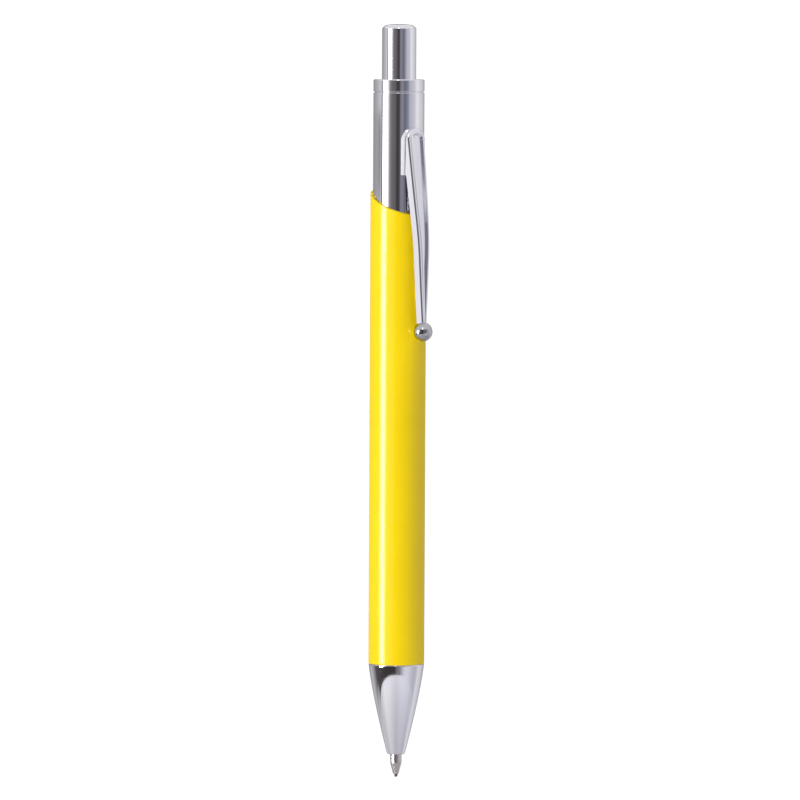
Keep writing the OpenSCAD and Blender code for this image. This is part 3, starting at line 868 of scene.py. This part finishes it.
# The same below the pencil's point, where the card is dark on the camera's left
LOW_STOPS = [
    (-180, 0.40, (1.0, 1.0, 1.04)), (-150, 0.55, (1.0, 1.0, 1.04)), (-129, 0.68, (1.0, 0.98, 1.0)),
    (-109, 0.36, (1.0, 0.94, 0.97)), (-97, 0.12, (1.0, 0.90, 0.92)), (-60, 0.06, (1.0, 0.88, 0.85)),
    (-8, 0.055, (1.0, 0.90, 0.88)), (4, 0.24, (1.0, 0.93, 0.98)), (15, 0.32, (1.0, 0.96, 1.02)),
    (24, 0.60, (0.99, 0.98, 1.05)), (36, 0.92, (0.99, 0.98, 1.05)), (50, 0.93, (1.0, 0.99, 1.05)),
    (64, 0.80, (1.0, 0.98, 1.06)), (80, 0.66, (1.0, 0.98, 1.07)), (94, 0.66, (1.0, 0.99, 1.06)),
    (108, 0.97, (1.0, 1.0, 1.03)), (131, 0.80, (1.0, 0.99, 1.03)), (160, 0.50, (0.98, 0.98, 1.05)),
]
# The foot of the card, which is pale again at the far left
FOOT_STOPS = [
    (-180, 0.50, (1.0, 1.0, 1.03)), (-131, 0.86, (1.0, 1.0, 1.03)), (-109, 0.72, (1.0, 0.99, 1.02)),
    (-97, 0.50, (1.0, 0.98, 1.0)), (-88, 0.10, (1.0, 0.90, 0.92)),
    *(stop for stop in LOW_STOPS if stop[0] > -80),
]
# And of the floor
FLOOR_STOPS = [
    (-180, 0.60, (1.0, 1.0, 1.03)), (-131, 0.92, (1.0, 1.0, 1.03)), (-109, 0.76, (1.0, 0.99, 1.02)),
    (-92, 0.78, (1.0, 0.99, 1.0)), (-76, 0.98, (1.0, 0.98, 1.0)), (-62, 1.18, (1.0, 0.98, 1.0)),
    (-36, 1.17, (1.0, 0.98, 1.0)), (-22, 1.06, (1.0, 0.98, 1.02)), (0, 0.94, (1.0, 0.98, 1.03)),
    (24, 1.03, (0.98, 0.99, 1.06)), (45, 0.97, (0.98, 0.99, 1.08)), (62, 0.88, (0.98, 0.99, 1.08)),
    (78, 0.74, (0.98, 0.99, 1.10)), (92, 0.74, (1.0, 0.99, 1.06)), (110, 0.98, (1.0, 1.0, 1.04)),
    (135, 0.94, (1.0, 1.0, 1.04)), (160, 0.6, (1.0, 1.0, 1.04)),
]
# The strip light's brightness across its width
KEY_STOPS = [
    (-180, 0, WHITE), (-81, 0, WHITE), (-77, 0.6, WHITE), (-73, 8, WHITE), (-68, 30, WHITE),
    (-62, 50, WHITE), (-56, 54, WHITE), (-54.5, 12, WHITE), (-52.5, 0.8, WHITE), (-51.5, 0, WHITE),
]
# Heights between which the card changes over to its next stops, from its foot up
CARD_BANDS = [
    (-0.252, -0.236, LOW_STOPS), (-0.14, -0.07, CARD_STOPS), (0.085, 0.105, SIDE_STOPS),
    (0.1215, 0.1235, CARD_STOPS), (0.2824, 0.2834, PATCH_STOPS), (0.2838, 0.2890, CARD_STOPS),
]


def toward(azimuth):
    """Level direction from the pencil, azimuth degrees to the camera's right of the camera's own."""
    a = math.radians(VIEW_AZIMUTH + azimuth)
    return Vector((math.sin(a), -math.cos(a), 0))


def camera():
    """Nearly level and far off, as the pencil is seen in a product picture."""
    sensor, distance, height, aim_height, roll = 36, 1.1, 0.125, 0.0703, 0.27
    aside = toward(90) * 0.00046           # the pencil stands a little to the left
    aim = aside + Vector((0, 0, aim_height))
    place = toward(0) * distance + aside + Vector((0, 0, height))
    data = bpy.data.cameras.new("camera")
    data.sensor_width = sensor
    data.lens = sensor / VIEW_WIDTH * (place - aim).length
    made = bpy.data.objects.new("camera", data)
    bpy.context.scene.collection.objects.link(made)
    made.location = place
    made.rotation_euler = (aim - place).to_track_quat("-Z", "Y").to_euler()
    made.rotation_euler.rotate_axis("Z", math.radians(roll))
    bpy.context.scene.camera = made


class Glow(Nodes):
    """A glowing material for the studio, coloured by place."""

    def __init__(self, name):
        super().__init__(name)
        self.tree.nodes.clear()
        self.shine = self.node("ShaderNodeEmission")
        self.link(self.shine.outputs[0], self.node("ShaderNodeOutputMaterial").inputs[0])
        where = self.node("ShaderNodeNewGeometry")
        parts = self.node("ShaderNodeSeparateXYZ")
        self.link(where.outputs["Position"], parts.inputs[0])
        self.x, self.y, self.z = parts.outputs
        self.share = self.direction()

    def along(self, direction):
        """How far a place lies in a level direction."""
        along_x = self.math("MULTIPLY", self.x, direction.x)
        along_y = self.math("MULTIPLY", self.y, direction.y)
        return self.math("ADD", along_x, along_y)

    def direction(self):
        """Direction of a place from the pencil, from 0 to 1 with the camera's direction in the middle."""
        angle = self.math("ARCTAN2", self.along(toward(90)), self.along(toward(0)))
        return self.math("MULTIPLY_ADD", angle, 1 / (2 * math.pi), 0.5)

    def round_colours(self, stops):
        """Colours by direction. The first stop's colour comes again at 180 degrees and closes the round."""
        closed = stops + [(180, *stops[0][1:])]
        return self.ramp(self.share, [
            ((azimuth + 180) / 360, tuple(bright * t for t in tint)) for azimuth, bright, tint in closed
        ])

    def smooth(self, source, low, high, to_low=0.0, to_high=1.0):
        """Changes smoothly from to_low to to_high between low and high."""
        return self.remap(source, low, high, to_low, to_high, kind="SMOOTHSTEP")

    def blend(self, share, first, second):
        """A share of the second colour over the first."""
        made = self.node("ShaderNodeMix", data_type="RGBA")
        for index, source in ((0, share), (6, first), (7, second)):
            self.link(source, made.inputs[index])
        return made.outputs[2]

    def colour(self, source):
        """Makes the material glow in the colour of source."""
        self.link(source, self.shine.inputs["Color"])


def card_glow():
    """The card's glow: bands round the pencil that change with height."""
    glow = Glow("studio_card")
    bands = glow.round_colours(FOOT_STOPS)
    for low, high, stops in CARD_BANDS:
        bands = glow.blend(glow.smooth(glow.z, low, high), bands, glow.round_colours(stops))
    glow.colour(bands)
    return glow.material


def floor_glow():
    """The floor's glow, duller under the pencil."""
    glow = Glow("studio_floor")
    squared_x, squared_y = glow.math("MULTIPLY", glow.x, glow.x), glow.math("MULTIPLY", glow.y, glow.y)
    far = glow.math("SQRT", glow.math("ADD", squared_x, squared_y))
    dim = glow.node("ShaderNodeVectorMath", operation="SCALE")
    glow.link(glow.round_colours(FLOOR_STOPS), dim.inputs[0])
    near, outer, dullest = 0.34, 0.70, 0.66
    glow.link(glow.smooth(far, near, outer, dullest, 1.0), dim.inputs["Scale"])
    glow.colour(dim.outputs[0])
    return glow.material


def key_glow():
    """The strip light's glow, brightest along its middle."""
    glow = Glow("key_card")
    glow.colour(glow.round_colours(KEY_STOPS))
    return glow.material


def place_in_studio(name, points, faces, material):
    """A studio piece from points in metres."""
    mesh = bpy.data.meshes.new(name)
    mesh.from_pydata(points, [], faces)
    mesh.materials.append(material)
    made = bpy.data.objects.new(name, mesh)
    bpy.context.scene.collection.objects.link(made)
    return made


def standing_card(name, azimuths, radius, low, high, material):
    """A card that stands on end round the pencil, through its azimuths."""
    points, faces = [], []
    for azimuth in azimuths:
        place = toward(azimuth) * radius
        points += [(place.x, place.y, low), (place.x, place.y, high)]
    for here in range(0, len(points) - 2, 2):
        faces.append((here, here + 1, here + 3, here + 2))
    return place_in_studio(name, points, faces, material)


def card():
    """A tall card round the pencil that the camera doesn't see: what the chrome and the lacquer reflect."""
    azimuths = [360 * k / CARD_STEPS for k in range(CARD_STEPS + 1)]
    made = standing_card("studio_card", azimuths, CARD_R, FLOOR_Z, CARD_TOP, card_glow())
    made.visible_camera = False
    made.visible_shadow = False


def floor():
    """A plain pale floor below the pencil, lit from beneath like a light table."""
    down = Vector((0, 0, FLOOR_Z))
    points = [tuple(toward(360 * k / CARD_STEPS) * CARD_R + down) for k in range(CARD_STEPS)]
    made = place_in_studio("studio_floor", points, [tuple(range(CARD_STEPS))], floor_glow())


def key_card():
    """A bright strip light at the camera's left. It makes the long highlight."""
    left, right, steps, low, high = -84, -51, 66, -0.16, 0.26
    azimuths = [left + (right - left) * k / steps for k in range(steps + 1)]
    made = standing_card("key_card", azimuths, KEY_R, low, high, key_glow())
    made.visible_camera = False
    made.visible_diffuse = False
    made.visible_shadow = False


def area_light(name, place, width, height, radiance):
    """A soft light aimed at the pencil's middle, whose face has that radiance."""
    middle = Vector((0, 0, 0.07))
    data = bpy.data.lights.new(name, "AREA")
    data.shape = "RECTANGLE"
    data.size, data.size_y = width, height
    data.energy = radiance * math.pi * width * height
    made = bpy.data.objects.new(name, data)
    bpy.context.scene.collection.objects.link(made)
    made.location = place
    made.rotation_euler = (middle - place).to_track_quat("-Z", "Y").to_euler()
    made.visible_camera = False
    return made


def world():
    """A plain white surrounding, which doesn't light matt surfaces."""
    made = bpy.data.worlds.new("studio_world")
    bpy.context.scene.world = made
    made.use_nodes = True
    background = made.node_tree.nodes["Background"]
    background.inputs["Color"].default_value = (1, 1, 1, 1)
    background.inputs["Strength"].default_value = 1.05
    made.cycles_visibility.diffuse = False


camera()
world()
floor()
card()
key_card()
fill_place = toward(-36) * 0.65 + Vector((0, 0, 0.12))
fill = area_light("fill", fill_place, width=0.5, height=0.5, radiance=4.65)
fill.visible_glossy = False
top_place = toward(-4) * 0.52 + Vector((0, 0, 0.55))
area_light("top_box", top_place, width=0.12, height=0.3, radiance=2.6)
bpy.context.scene.view_settings.view_transform = "Standard"
bpy.context.scene.view_settings.look = "None"
